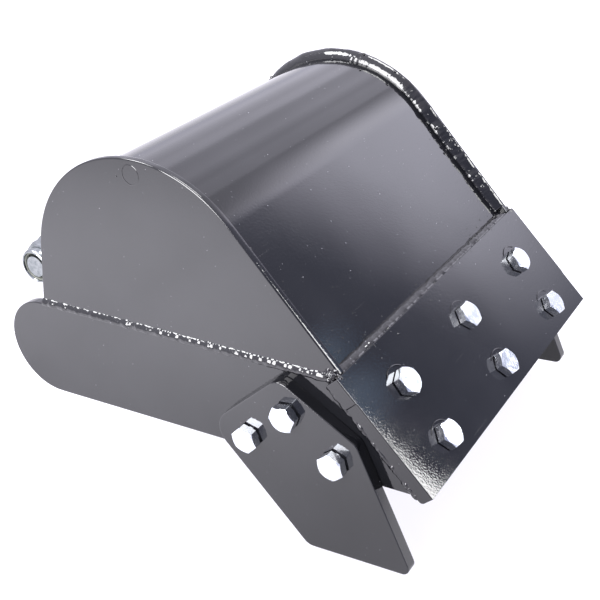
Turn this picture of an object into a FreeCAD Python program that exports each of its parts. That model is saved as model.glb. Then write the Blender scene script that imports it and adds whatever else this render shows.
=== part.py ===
import FreeCAD, Part
import math
import os

from FreeCAD import Vector

# Small excavator bucket, drawn lying on its sole: X across the width, Y forward along the sole
# to the lip, Z up. The drawing's origin is the centre line of the rolled back, mid width.
# The finished parts are turned to the way the bucket stands, mouth down on its side cutters
# and on the round back ends of its side bars, with the link pin's bore at the origin.
# Lengths are in millimetres and angles in degrees.

# Shell
body_width = 300.0          # over the outer faces of the side plates
shell_radius = 103.0        # outside of the roll
shell_thickness = 6.0
sole_length = 123.7         # flat sole, from the roll to the lip plate
roll_angle = 127.8          # how far the roll turns from the sole to the flat back
back_inset = 2.0            # the flat back stops this far inside the mouth
side_thickness = 6.0
side_proud = 7.0            # the side plates stand this far out round the shell

# Side bars along the mouth
bar_thickness = 8.0
seam_angle = 39.4           # slope of the seam's normal, side plate to bar
seam_offset = 28.5          # from the roll's centre line to the seam
mouth_angle = 38.5          # slope of the mouth edge's normal
mouth_offset = 111.9        # from the roll's centre line to the mouth edge
bar_back = 121.3            # from the roll's centre line back to the centre of the round end

# Lip plate and wear blade
lip_thickness = 12.0
lip_length = 104.0
lip_overhang = 6.0          # past each side plate
lip_step = 7.5              # the lip's outer face stands this far below the sole
lip_slope = 1.8
lip_edge_radius = 3.0
blade_thickness = 8.0
blade_length = 82.0
blade_setback = 16.0        # from the lip's rear edge to the blade's
blade_clearance = 2.0       # to each side bar
blade_bevel = 10.0          # length of the ground edge
blade_edge = 3.0            # thickness left at the ground edge

# Side cutters: corners forward and up from the bar's front corner, with their radii
cutter_thickness = 10.0
cutter_corners = [(-121.9, 118.4), (-122.8, 31.7), (-54.4, 9.3), (48.7, 44.6), (-3.5, 114.8)]
cutter_radii = [18.5, 12.0, 8.0, 6.0, 10.0]
cutter_bolts = [(-97.5, 45.2), (-98.2, 91.5), (-51.2, 35.4)]
cutter_bolt_turns = [27.0, 5.0, -2.0]      # how each head stands once it is tight

# M12 fasteners
bolt_diameter = 12.0
bolt_length = 35.0
bolt_head_width = 19.0      # across flats
bolt_head_height = 7.0      # the hexagon alone
lip_collar = 0.5            # round seat under a lip bolt's hexagon
cutter_collar = 1.5         # the same under a side cutter's bolts
nut_height = 10.0
hole_clearance = 0.5        # on the radius, bolt to plate
thread_clearance = 0.05     # on the radius, bolt to nut
washer_radius = 12.0
washer_thickness = 2.5
bolt_pitch = 105.0          # across the lip, pair to pair
first_row = 35.8            # from the lip's rear edge
row_spacing = 47.5
lip_bolt_turns = [24.0, 4.0, 17.0, -6.0, -9.0, -5.0]

# Ears, bushes and the stick's pivot bolt (M24)
ear_gap = 100.0             # between the two ears
ear_thickness = 10.0
ear_foot_front = 14.0       # the foot's front end, in degrees round the roll
ear_foot_back = 120.0       # the foot's back end, along the flat back
ear_foot_sink = 3.0         # how deep the outline starts under the shell's face
pin_along = 75.8            # the stick pin's place along the flat back
pin_height = 73.0           # the stick pin above the flat back
link_height = 28.4          # the link pin above the flat back
pin_spacing = 80.0
stick_ear_border = 8.0      # of ear plate round the stick's bush
link_ear_border = 6.0       # of ear plate round the link's bush
bush_wall = 5.95
bush_stand = 6.0            # how far a bush stands out of its ear
pin_diameter = 24.0
pin_clearance = 0.05        # on the radius, pin to bush
pin_end_gap = 0.3           # each side, bush to washer
pin_washer_border = 10.0    # beyond the pin
pin_washer_thickness = 4.0
pin_hex_step = 12.0         # across flats, over the pin's diameter
pin_head_height = 14.2
pin_collar = 0.8
pin_nut_height = 24.0
pin_end_recess = 1.0        # the bolt's end inside the nut's rim
insert_height = 5.0         # nylon ring in the lock nut
insert_wall = 1.95
insert_depth = 1.5          # under the nut's rim

# Welds
seam_bead_reach = 5.0       # on to the side plate
seam_bead_lap = 3.0         # on to the bar
seam_bead_height = 3.6      # above the side plate
edge_leg = 6.0
lip_leg = 7.0
ear_leg = 5.0
ear_weld_setback = 3.0      # degrees round the roll, from the foot's front end

ACROSS = Vector(1, 0, 0)
collar_share = 0.44         # a hex head's round seat: its radius over the head's width


def unit(degrees):
    # A direction in the side view, measured from the sole's direction towards up.
    turn = math.radians(degrees)
    return Vector(0, math.cos(turn), math.sin(turn))


def meet(line_a, line_b):
    # Where two lines of the side view cross; a line is its unit normal and its distance.
    normal_a, offset_a = line_a
    normal_b, offset_b = line_b
    spread = normal_a.y * normal_b.z - normal_a.z * normal_b.y
    y = (offset_a * normal_b.z - offset_b * normal_a.z) / spread
    z = (offset_b * normal_a.y - offset_a * normal_b.y) / spread
    return Vector(0, y, z)


def line_through(start, direction):
    normal = Vector(0, -direction.z, direction.y)
    return normal, normal.dot(start)


def segment(start, end):
    return Part.LineSegment(start, end).toShape()


def polygon(points):
    return Part.makePolygon(points + [points[0]])


def rounded(points, radii):
    # A closed outline with each corner rounded by its own radius.
    edges = []
    count = len(points)
    previous_end = None
    first_start = None
    for i in range(count):
        corner = points[i]
        back = (points[i - 1] - corner).normalize()
        ahead = (points[(i + 1) % count] - corner).normalize()
        half = math.acos(back.dot(ahead)) / 2
        reach = radii[i] / math.tan(half)
        start = corner + back * reach
        end = corner + ahead * reach
        middle = corner + (back + ahead).normalize() * (radii[i] / math.sin(half) - radii[i])
        if previous_end is None:
            first_start = start
        else:
            edges.append(segment(previous_end, start))
        edges.append(Part.Arc(start, middle, end).toShape())
        previous_end = end
    edges.append(segment(previous_end, first_start))
    return Part.Wire(edges)


def belt(discs):
    # The outline of a belt round discs, given anticlockwise as (centre, radius).
    count = len(discs)
    normals = []
    for i in range(count):
        centre, radius = discs[i]
        next_centre, next_radius = discs[(i + 1) % count]
        span = next_centre - centre
        lean = (radius - next_radius) / span.Length
        heading = Vector(span).normalize()
        square = Vector(0, heading.z, -heading.y)
        normals.append(heading * lean + square * math.sqrt(1 - lean * lean))
    edges = []
    for i in range(count):
        centre, radius = discs[i]
        next_centre, next_radius = discs[(i + 1) % count]
        arriving = normals[i - 1]
        leaving = normals[i]
        if radius > 0:
            start_turn = math.atan2(arriving.z, arriving.y)
            sweep = (math.atan2(leaving.z, leaving.y) - start_turn) % (2 * math.pi)
            middle = unit(math.degrees(start_turn + sweep / 2))
            arc = Part.Arc(centre + arriving * radius, centre + middle * radius, centre + leaving * radius)
            edges.append(arc.toShape())
        edges.append(segment(centre + leaving * radius, next_centre + leaving * next_radius))
    return Part.Wire(edges)


def prism(outline, x_from, x_to):
    face = Part.Face(outline)
    face.translate(ACROSS * x_from)
    return face.extrude(ACROSS * (x_to - x_from))


def cylinder(radius, start, axis, length):
    return Part.makeCylinder(radius, length, start, axis)


def ring(outer, inner, start, axis, length):
    return cylinder(outer, start, axis, length).cut(cylinder(inner, start, axis, length))


def hexagon(width, start, axis, height, side):
    # A hexagonal prism with its corners turned down at the far end, one flat facing `side`.
    corner = width / math.sqrt(3)
    cross = axis.cross(side)
    points = []
    for k in range(6):
        turn = math.radians(60 * k + 30)
        points.append(start + side * (corner * math.cos(turn)) + cross * (corner * math.sin(turn)))
    solid = Part.Face(polygon(points)).extrude(axis * height)
    face_radius = width / 2 * 0.95
    crown = math.tan(math.radians(30)) * (corner - face_radius)
    lower = cylinder(corner, start, axis, height - crown)
    upper = Part.makeCone(corner, face_radius, crown, start + axis * (height - crown), axis)
    return solid.common(lower.fuse(upper))


def turned(side, outward, degrees):
    angle = math.radians(degrees)
    return side * math.cos(angle) + outward.cross(side) * math.sin(angle)


def hex_bolt(diameter, width, head_height, collar, length, start, axis, side):
    # `start` is the centre of the head's seat, and `axis` points from the head into the work.
    seat = cylinder(width * collar_share, start, axis * -1, collar)
    head = hexagon(width, start - axis * collar, axis * -1, head_height, side).fuse(seat)
    chamfer = diameter * 0.08
    shank = cylinder(diameter / 2, start, axis, length - chamfer)
    tip_start = start + axis * (length - chamfer)
    tip = Part.makeCone(diameter / 2, diameter / 2 - chamfer, chamfer, tip_start, axis)
    return head.fuse([shank, tip]).removeSplitter()


def hex_nut(width, height, bore, start, axis, side):
    return hexagon(width, start, axis, height, side).cut(cylinder(bore, start, axis, height))


# Lines and points of the side view
half_width = body_width / 2
inner_x = half_width - side_thickness
bar_x = inner_x + bar_thickness
lip_x = half_width + lip_overhang
rim_radius = shell_radius + side_proud

back_heading = unit(180 - roll_angle)
back_outward = unit(270 - roll_angle)
seam = (unit(seam_angle), seam_offset)
mouth = (unit(mouth_angle), mouth_offset)

lip_heading = unit(-lip_slope)
lip_inward = unit(90 - lip_slope)
lip_corner = Vector(0, sole_length, -(shell_radius + lip_step))
lip_rear = line_through(lip_corner, lip_inward)
lip_face = line_through(lip_corner + lip_inward * lip_thickness, lip_heading)
bar_rear_corner = meet(seam, lip_face)
bar_front_corner = meet(mouth, lip_face)


def sole_end(radius):
    # Where a face lying this far below the roll's centre line reaches the lip plate.
    return meet(lip_rear, (unit(-90), radius))


def roll_point(radius, degrees):
    # A point round the roll, starting from the sole.
    return unit(-90 - degrees) * radius


def back_point(along, height):
    # A point by its distance along the flat back and its height above the shell's outer face.
    return back_outward * (shell_radius + height) + back_heading * along


back_end_along = (mouth_offset - back_inset - back_point(0, 0).dot(mouth[0])) / back_heading.dot(mouth[0])


def shell_curve(radius):
    # The three edges of the shell's side view at one radius: sole, roll and flat back.
    turned = back_outward * radius
    arc = Part.Arc(roll_point(radius, 0), roll_point(radius, roll_angle / 2), turned)
    return [
        segment(sole_end(radius), roll_point(radius, 0)),
        arc.toShape(),
        segment(turned, turned + back_heading * back_end_along),
    ]


def shell_outline(outer, inner):
    outer_end = back_outward * outer + back_heading * back_end_along
    inner_end = back_outward * inner + back_heading * back_end_along
    ends = [segment(outer_end, inner_end), segment(sole_end(inner), sole_end(outer))]
    return Part.Wire(Part.__sortEdges__(shell_curve(outer) + shell_curve(inner) + ends))


def shell_fillet(root_x, reach, forward, first_turn, back_length):
    # A triangular fillet lying on the shell's outer face beside the plane at root_x. It runs
    # `forward` along the sole, round the roll from first_turn, then back_length up the flat back.
    height = abs(reach)
    corners = [(root_x, 0), (root_x + reach, 0), (root_x, height)]
    start_out = unit(-90 - first_turn)
    section = Part.Face(polygon([ACROSS * x + start_out * (shell_radius + r) for x, r in corners]))
    pieces = [section.revolve(Vector(0, 0, 0), ACROSS, first_turn - roll_angle)]
    if forward > 0:
        pieces.append(section.extrude(Vector(0, forward, 0)))
    far = Part.Face(polygon([ACROSS * x + back_outward * (shell_radius + r) for x, r in corners]))
    pieces.append(far.extrude(back_heading * back_length))
    return pieces[0].fuse(pieces[1:]).removeSplitter()


parts = {}


def add(name, shape):
    parts[name] = shape


def mirrored(shape):
    return shape.mirror(Vector(0, 0, 0), ACROSS)


def add_pair(name, right_shape):
    # The same piece at both sides, drawn at the right (+X).
    add(name + "_left", mirrored(right_shape))
    add(name + "_right", right_shape)


# ---- shell ----
add("wrapper", prism(shell_outline(shell_radius, shell_radius - shell_thickness), -inner_x, inner_x))

rim_turned = back_outward * rim_radius
side_corner = meet(seam, (back_outward, rim_radius))
side_edges = [
    segment(sole_end(rim_radius), roll_point(rim_radius, 0)),
    Part.Arc(roll_point(rim_radius, 0), roll_point(rim_radius, roll_angle / 2), rim_turned).toShape(),
    segment(rim_turned, side_corner),
    segment(side_corner, bar_rear_corner),
    segment(bar_rear_corner, meet(lip_rear, lip_face)),
    segment(meet(lip_rear, lip_face), sole_end(rim_radius)),
]
add_pair("side_plate", prism(Part.Wire(side_edges), inner_x, half_width))

# ---- side bars and side cutters ----
seam_heading = unit(seam_angle - 90)
lean = seam[0].dot(mouth[0])
bar_radius = (mouth_offset - seam_offset * lean + bar_back * seam_heading.dot(mouth[0])) / (1 + lean)
bar_end = seam[0] * (seam_offset + bar_radius) - seam_heading * bar_back
bar_outline = belt([(bar_end, bar_radius), (bar_rear_corner, 0), (bar_front_corner, 0)])

cutter_points = [bar_front_corner + Vector(0, y, z) for y, z in cutter_corners]
cutter_bolt_points = [bar_front_corner + Vector(0, y, z) for y, z in cutter_bolts]
bar = prism(bar_outline, inner_x, bar_x)
cutter = prism(rounded(cutter_points, cutter_radii), bar_x, bar_x + cutter_thickness)
hole_radius = bolt_diameter / 2 + hole_clearance
for point in cutter_bolt_points:
    hole = cylinder(hole_radius, point + ACROSS * inner_x, ACROSS, bar_thickness + cutter_thickness)
    bar = bar.cut(hole)
    cutter = cutter.cut(hole)
add_pair("side_bar", bar)
add_pair("side_cutter", cutter)

# ---- lip plate and wear blade ----
lip_points = [
    lip_corner,
    lip_corner + lip_heading * lip_length,
    lip_corner + lip_heading * lip_length + lip_inward * lip_thickness,
    lip_corner + lip_inward * lip_thickness,
]
lip = prism(polygon(lip_points), -lip_x, lip_x)
front_edges = []
for edge in lip.Edges:
    middle = edge.CenterOfMass
    if abs(middle.x) < 1 and (middle - lip_points[2]).Length < 0.01:
        front_edges.append(edge)
lip = lip.makeFillet(lip_edge_radius, front_edges)

blade_x = inner_x - blade_clearance
blade_corner = lip_points[3] + lip_heading * blade_setback
blade_points = [
    blade_corner,
    blade_corner + lip_heading * blade_length,
    blade_corner + lip_heading * blade_length + lip_inward * blade_edge,
    blade_corner + lip_heading * (blade_length - blade_bevel) + lip_inward * blade_thickness,
    blade_corner + lip_inward * blade_thickness,
]
blade = prism(polygon(blade_points), -blade_x, blade_x)

lip_bolt_seats = []
for row in range(2):
    for column in range(3):
        along = first_row + row * row_spacing
        seat = lip_corner + lip_heading * along + ACROSS * ((column - 1) * bolt_pitch)
        lip_bolt_seats.append(seat)
for seat in lip_bolt_seats:
    hole = cylinder(hole_radius, seat, lip_inward, lip_thickness + blade_thickness)
    lip = lip.cut(hole)
    blade = blade.cut(hole)
add("lip_plate", lip)
add("wear_blade", blade)

# ---- ears and bushes ----
filled_edges = shell_curve(shell_radius)
filled_edges.append(segment(back_point(back_end_along, 0), sole_end(shell_radius)))
shell_filled = prism(Part.Wire(Part.__sortEdges__(filled_edges)), -inner_x, inner_x)

stick_pin = back_point(pin_along, pin_height)
link_along = pin_along - math.sqrt(pin_spacing ** 2 - (pin_height - link_height) ** 2)
link_pin = back_point(link_along, link_height)
ear_front = roll_point(shell_radius - ear_foot_sink, roll_angle - ear_foot_front)
ear_back = back_point(ear_foot_back, -ear_foot_sink)
ear_x = ear_gap / 2
ear_outer_x = ear_x + ear_thickness
bush_x = ear_outer_x + bush_stand
pin_radius = pin_diameter / 2
bush_bore = pin_radius + pin_clearance
bush_radius = bush_bore + bush_wall
ear_discs = [
    (link_pin, bush_radius + link_ear_border),
    (ear_front, 0),
    (ear_back, 0),
    (stick_pin, bush_radius + stick_ear_border),
]
ear = prism(belt(ear_discs), ear_x, ear_outer_x).cut(shell_filled)
for name, centre in (("stick_bush", stick_pin), ("link_bush", link_pin)):
    ear = ear.cut(cylinder(bush_radius, centre + ACROSS * ear_x, ACROSS, ear_thickness))
    add_pair(name, ring(bush_radius, bush_bore, centre + ACROSS * ear_x, ACROSS, bush_x - ear_x))
add_pair("ear", ear)

# ---- the stick's pivot: bolt from the right, washers, and a lock nut at the left ----
head_x = bush_x + pin_end_gap + pin_washer_thickness
nut_x = -head_x
pin_length = head_x - nut_x + pin_nut_height - pin_end_recess
head_seat = stick_pin + ACROSS * head_x
pin_hex_width = pin_diameter + pin_hex_step
pin_hex = (pin_diameter, pin_hex_width, pin_head_height, pin_collar)
add("stick_pin_bolt", hex_bolt(*pin_hex, pin_length, head_seat, ACROSS * -1, back_heading))
washer_start = stick_pin + ACROSS * (bush_x + pin_end_gap)
washer_bore = pin_radius + hole_clearance
washer_rim = pin_radius + pin_washer_border
add_pair("stick_pin_washer", ring(washer_rim, washer_bore, washer_start, ACROSS, pin_washer_thickness))
nut_start = stick_pin + ACROSS * nut_x
pin_nut_bore = pin_radius + thread_clearance
pin_nut = hex_nut(pin_hex_width, pin_nut_height, pin_nut_bore, nut_start, ACROSS * -1, back_heading)
insert_start = nut_start - ACROSS * (pin_nut_height - insert_depth - insert_height)
insert_radius = pin_nut_bore + insert_wall
groove = cylinder(insert_radius, insert_start, ACROSS * -1, insert_height)
add("stick_pin_nut", pin_nut.cut(groove))
add("stick_pin_insert", ring(insert_radius, pin_nut_bore, insert_start, ACROSS * -1, insert_height))

# ---- fasteners through the lip and the side cutters ----
nut_bore = bolt_diameter / 2 + thread_clearance


def fasten(seat, axis, grip, collar, side_direction):
    # One bolt with its washer and nut on the far side of the work.
    head_sizes = (bolt_diameter, bolt_head_width, bolt_head_height, collar)
    bolt_piece = hex_bolt(*head_sizes, bolt_length, seat, axis, side_direction)
    washer_piece = ring(washer_radius, hole_radius, seat + axis * grip, axis, washer_thickness)
    nut_seat = seat + axis * (grip + washer_thickness)
    nut_piece = hex_nut(bolt_head_width, nut_height, nut_bore, nut_seat, axis, side_direction)
    return bolt_piece, washer_piece, nut_piece


lip_washers = []
for number, seat in enumerate(lip_bolt_seats, 1):
    side = turned(lip_heading, lip_inward * -1, lip_bolt_turns[number - 1])
    piece, washer, nut = fasten(seat, lip_inward, lip_thickness + blade_thickness, lip_collar, side)
    add("lip_bolt_%d" % number, piece)
    add("lip_nut_%d" % number, nut)
    lip_washers.append(washer)
add("lip_washers", Part.makeCompound(lip_washers))

for hand, outward in (("left", ACROSS * -1), ("right", ACROSS)):
    washers = []
    for number, point in enumerate(cutter_bolt_points, 1):
        seat = point + outward * (bar_x + cutter_thickness)
        grip = bar_thickness + cutter_thickness
        side = turned(Vector(0, 1, 0), outward, cutter_bolt_turns[number - 1])
        piece, washer, nut = fasten(seat, outward * -1, grip, cutter_collar, side)
        add("cutter_bolt_%s_%d" % (hand, number), piece)
        add("cutter_nut_%s_%d" % (hand, number), nut)
        washers.append(washer)
    add("cutter_washers_" + hand, Part.makeCompound(washers))

# ---- welds ----
# Seam bead: a low crown over the step from the side plate's face to the bar's.
seam_run = (bar_rear_corner - side_corner).dot(seam_heading)


def seam_point(across_seam, x):
    return side_corner + seam[0] * across_seam + ACROSS * x


crown_x = half_width + seam_bead_height
bead_toe = seam_point(-seam_bead_reach, half_width)
bead_lap = seam_point(seam_bead_lap, bar_x)
bead_edges = [
    Part.Arc(bead_toe, seam_point(0, crown_x), bead_lap).toShape(),
    segment(bead_lap, seam_point(0, bar_x)),
    segment(seam_point(0, bar_x), seam_point(0, half_width)),
    segment(seam_point(0, half_width), bead_toe),
]
seam_bead = Part.Face(Part.Wire(bead_edges)).extrude(seam_heading * seam_run).cut(lip)
add_pair("bar_weld", seam_bead)

lip_bead_toe = sole_end(shell_radius).y - lip_leg
add_pair("edge_weld", shell_fillet(inner_x, -edge_leg, lip_bead_toe, 0, back_end_along))

lip_root = sole_end(shell_radius)
lip_bead_top = sole_end(shell_radius + lip_leg)
lip_bead_back = Vector(0, lip_bead_toe, -shell_radius)
add("lip_weld", prism(polygon([lip_root, lip_bead_back, lip_bead_top]), -inner_x, inner_x))

under_leg = lip_x - bar_x
under_run = (bar_front_corner - lip_points[3]).dot(lip_heading)
under_root = lip_points[3] + ACROSS * bar_x
under_section = [under_root, under_root + ACROSS * under_leg, under_root + lip_inward * under_leg]
under_bead = Part.Face(polygon(under_section)).extrude(lip_heading * under_run).cut(seam_bead)
add_pair("lip_bar_weld", under_bead)

ear_run = ear_foot_back - ear_leg
ear_turn = roll_angle - ear_foot_front + ear_weld_setback
ear_welds = [
    shell_fillet(ear_outer_x, ear_leg, 0, ear_turn, ear_run),
    shell_fillet(ear_x, -ear_leg, 0, ear_turn, ear_run),
]
add_pair("ear_weld", Part.makeCompound(ear_welds))

# ---- stand the bucket on its side cutters and bars, with the link pin at the origin ----
heel = cutter_points[4]
heel_back = (cutter_points[3] - heel).normalize()
heel_ahead = (cutter_points[0] - heel).normalize()
heel_half = math.acos(heel_back.dot(heel_ahead)) / 2
heel_centre = heel + (heel_back + heel_ahead).normalize() * (cutter_radii[4] / math.sin(heel_half))
base = heel_centre - bar_end
base_slope = math.degrees(math.atan2(base.z, base.y))
down_angle = base_slope + math.degrees(math.acos((bar_radius - cutter_radii[4]) / base.Length))

os.makedirs("parts", exist_ok=True)
for name, shape in parts.items():
    standing = shape.copy()
    standing.translate(link_pin * -1)
    standing.rotate(Vector(0, 0, 0), ACROSS, -90 - down_angle)
    standing.exportStep("parts/" + name + ".step")
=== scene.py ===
import bpy
import math
import random
from mathutils import Matrix, Vector, noise


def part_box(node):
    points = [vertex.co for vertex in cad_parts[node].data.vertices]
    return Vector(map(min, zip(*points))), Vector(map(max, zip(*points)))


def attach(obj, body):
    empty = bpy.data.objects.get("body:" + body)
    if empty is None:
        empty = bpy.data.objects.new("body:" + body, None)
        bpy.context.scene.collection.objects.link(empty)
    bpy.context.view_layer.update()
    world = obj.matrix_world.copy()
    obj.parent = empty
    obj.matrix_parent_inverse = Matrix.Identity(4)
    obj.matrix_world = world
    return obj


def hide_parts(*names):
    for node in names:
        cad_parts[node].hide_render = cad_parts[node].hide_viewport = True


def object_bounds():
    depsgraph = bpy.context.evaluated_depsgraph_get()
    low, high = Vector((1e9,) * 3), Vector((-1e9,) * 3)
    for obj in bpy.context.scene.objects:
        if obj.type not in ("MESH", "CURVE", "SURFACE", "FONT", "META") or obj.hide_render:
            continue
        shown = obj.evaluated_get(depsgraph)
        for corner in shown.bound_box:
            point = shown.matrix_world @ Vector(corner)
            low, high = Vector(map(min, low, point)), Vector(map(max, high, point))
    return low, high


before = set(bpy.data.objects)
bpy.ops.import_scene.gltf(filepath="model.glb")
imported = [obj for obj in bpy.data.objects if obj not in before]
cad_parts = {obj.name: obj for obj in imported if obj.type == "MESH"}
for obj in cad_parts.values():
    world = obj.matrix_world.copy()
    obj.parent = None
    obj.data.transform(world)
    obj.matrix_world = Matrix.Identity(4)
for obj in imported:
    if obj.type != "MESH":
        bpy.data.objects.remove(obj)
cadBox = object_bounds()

random.seed(7)
scene = bpy.context.scene
across = Vector((1, 0, 0))

# side view of the bucket: p runs forward along the sole to the lip, q up through it,
# both from the middle of the roll; the bucket stands turned over by "lean"
body = {"lean": math.radians(-143.38231), "roll": 0.103, "rim": 0.110, "thick": 0.006, "halfWidth": 0.150}
innerHalf = body["halfWidth"] - body["thick"]
rollMiddle = Vector((0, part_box("wrapper")[1].y - body["roll"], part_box("side_plate_left")[1].z - body["rim"]))


def sideways(p, q):
    c, s = math.cos(body["lean"]), math.sin(body["lean"])
    return Vector((0, p * c - q * s, p * s + q * c))


def sidePlace(place):
    # back from a place to its p and q
    c, s = math.cos(body["lean"]), math.sin(body["lean"])
    y, z = place.y - rollMiddle.y, place.z - rollMiddle.z
    return y * c + z * s, z * c - y * s


def middleOf(node):
    low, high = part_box(node)
    return (low + high) / 2


def soleEdge(degrees):
    return sideways(math.cos(math.radians(degrees)), math.sin(math.radians(degrees)))


# camera, at the place the bucket is usually shown from
view = {"place": (-0.63180, -0.50980, 0.45270), "right": (0.53186, -0.83879, 0.11649),
        "down": (-0.43755, -0.38997, -0.81024), "lens": 59.99, "sensor": 36}
bpy.ops.object.camera_add()
camera = bpy.context.object
camera.name = "viewCamera"
right, up = Vector(view["right"]).normalized(), -Vector(view["down"]).normalized()
turn = Matrix((right, up, right.cross(up))).transposed()
camera.matrix_world = Matrix.Translation(view["place"]) @ turn.to_4x4()
camera.data.lens = view["lens"]
camera.data.sensor_width = view["sensor"]
camera.data.clip_start = 0.02
scene.camera = camera


def only(piece):
    if bpy.context.mode != "OBJECT":
        bpy.ops.object.mode_set(mode="OBJECT")
    bpy.ops.object.select_all(action="DESELECT")
    piece.select_set(True)
    bpy.context.view_layer.objects.active = piece


def started(name):
    # the primitive that was just added, under its own name
    piece = bpy.context.object
    piece.name = name
    piece.data.name = name
    return piece


def inEdit(piece, kind="VERT"):
    only(piece)
    bpy.ops.object.mode_set(mode="EDIT")
    bpy.ops.mesh.select_mode(type=kind)


def pick(piece, kind, wanted):
    # selects vertices, edges or faces of the piece in edit mode
    bpy.ops.mesh.select_mode(type=kind)
    bpy.ops.mesh.select_all(action="DESELECT")
    bpy.ops.object.mode_set(mode="OBJECT")
    mesh = piece.data
    for item in {"VERT": mesh.vertices, "EDGE": mesh.edges, "FACE": mesh.polygons}[kind]:
        item.select = wanted(item)
    bpy.ops.object.mode_set(mode="EDIT")


def edgeLine(piece, edge):
    a, b = (piece.data.vertices[i].co for i in edge.vertices)
    return b - a


def extrude(step):
    bpy.ops.mesh.extrude_region_move(TRANSFORM_OT_translate={"value": step})


def place(piece):
    only(piece)
    bpy.ops.object.transform_apply(location=True, rotation=True, scale=True)


def modify(piece, kind, **settings):
    only(piece)
    modifier = piece.modifiers.new(kind.title(), kind)
    for key, value in settings.items():
        setattr(modifier, key, value)
    bpy.ops.object.modifier_apply(modifier=modifier.name)


def outward(piece):
    inEdit(piece)
    bpy.ops.mesh.select_all(action="SELECT")
    bpy.ops.mesh.remove_doubles(threshold=0.000002)
    bpy.ops.mesh.normals_make_consistent(inside=False)
    bpy.ops.object.mode_set(mode="OBJECT")


def copyOf(piece, name):
    only(piece)
    bpy.ops.object.duplicate(linked=False)
    return started(name)


def joined(parts, name):
    only(parts[0])
    for part in parts[1:]:
        part.select_set(True)
    if len(parts) > 1:
        bpy.ops.object.join()
    return started(name)


def drop(piece):
    only(piece)
    bpy.ops.object.delete()


def settle(piece, material, nodes=(), rides="bucket", smooth=35):
    place(piece)
    bpy.ops.object.shade_smooth_by_angle(angle=math.radians(smooth))
    piece.data.materials.clear()
    piece.data.materials.append(material)
    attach(piece, rides)
    if nodes:
        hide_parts(*nodes)
    return piece


def nodeMaker(tree):
    # adds a node, sets its values and joins what is given as a socket
    def node(kind, inputs=None, **settings):
        made = tree.nodes.new(kind)
        for key, value in settings.items():
            setattr(made, key, value)
        for key, value in (inputs or {}).items():
            if isinstance(value, bpy.types.NodeSocket):
                tree.links.new(value, made.inputs[key])
            else:
                made.inputs[key].default_value = value
        return made
    return node


def painter(name):
    # a new material, a maker of nodes for it, and its shader
    material = bpy.data.materials.new(name)
    material.use_nodes = True
    tree = material.node_tree
    tree.nodes.clear()
    node = nodeMaker(tree)
    shader = node("ShaderNodeBsdfPrincipled")
    node("ShaderNodeOutputMaterial", {"Surface": shader.outputs[0]})
    return material, node, shader, tree


def spots(node, where, size, detail=2.0, rough=0.5, stretch=(1, 1, 1)):
    # soft cloudy values; size is about one cloud, in metres
    spread = node("ShaderNodeMapping", {"Vector": where, "Scale": tuple(k / size for k in stretch)})
    return node("ShaderNodeTexNoise", {"Vector": spread.outputs[0], "Scale": 1.0, "Detail": detail,
                                       "Roughness": rough}).outputs[0]


def span(node, value, low, high, new):
    return node("ShaderNodeMapRange", {0: value, 1: low, 2: high, 3: new[0], 4: new[1]}).outputs[0]


def blend(node, amount, first, second):
    mixed = node("ShaderNodeMix", {0: amount, 6: first, 7: second}, data_type="RGBA")
    return mixed.outputs[2]


def sumOf(node, *values):
    total = values[0]
    for value in values[1:]:
        total = node("ShaderNodeMath", {0: total, 1: value}, operation="ADD").outputs[0]
    return total


def bumps(node, tree, shader, layers):
    # layers of (height value, depth in metres), one over the other
    normal = None
    for height, depth in layers:
        bump = node("ShaderNodeBump", {"Height": height, "Distance": depth, "Strength": 1.0})
        if normal:
            tree.links.new(normal, bump.inputs["Normal"])
        normal = bump.outputs[0]
    tree.links.new(normal, shader.inputs["Normal"])


def glossPaint(name, look):
    material, node, shader, tree = painter(name)
    where = node("ShaderNodeTexCoord").outputs["Object"]
    cloud = spots(node, where, 0.060)
    peel = spots(node, where, look["peelSize"], 1.0)
    sway = spots(node, where, 0.085, 1.0)
    dust = spots(node, where, 0.0016, 0.0)
    wiped = spots(node, where, 0.020, 3.0, 0.6, (0.35, 1, 1))
    scuff = spots(node, where, 0.0010, 1.0, 0.5, (0.02, 1, 1))
    specks = span(node, dust, 0.86, 0.88, (0.0, 1.0))
    lines = span(node, scuff, 0.76, 0.79, (0.0, 1.0))
    shade = blend(node, span(node, cloud, 0.3, 0.7, (0.0, 1.0)), look["deep"], look["pale"])
    tree.links.new(blend(node, specks, shade, look["dust"]), shader.inputs["Base Color"])
    gloss = span(node, wiped, 0.35, 0.75, look["gloss"])
    rough = sumOf(node, gloss, span(node, specks, 0, 1, (0, 0.25)), span(node, lines, 0, 1, (0, 0.12)))
    tree.links.new(rough, shader.inputs["Roughness"])
    shader.inputs["IOR"].default_value = look["ior"]
    bumps(node, tree, shader, [(sway, look["sway"]), (peel, look["peel"]), (lines, -0.000003)])
    return material


def zincPlate(name, look):
    material, node, shader, tree = painter(name)
    where = node("ShaderNodeTexCoord").outputs["Object"]
    cloud = spots(node, where, 0.0045, 3.0)
    grain = spots(node, where, 0.00035, 2.0)
    dull = spots(node, where, 0.0020, 2.0)
    tint = blend(node, span(node, cloud, 0.35, 0.65, (0.0, 1.0)), look["cool"], look["bright"])
    dulled = span(node, dull, 0.62, 0.74, (0.0, 0.6))
    tree.links.new(blend(node, dulled, tint, look["dull"]), shader.inputs["Base Color"])
    tree.links.new(span(node, cloud, 0.3, 0.7, look["rough"]), shader.inputs["Roughness"])
    shader.inputs["Metallic"].default_value = 1.0
    bumps(node, tree, shader, [(cloud, look["wave"]), (grain, look["grain"])])
    return material


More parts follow.
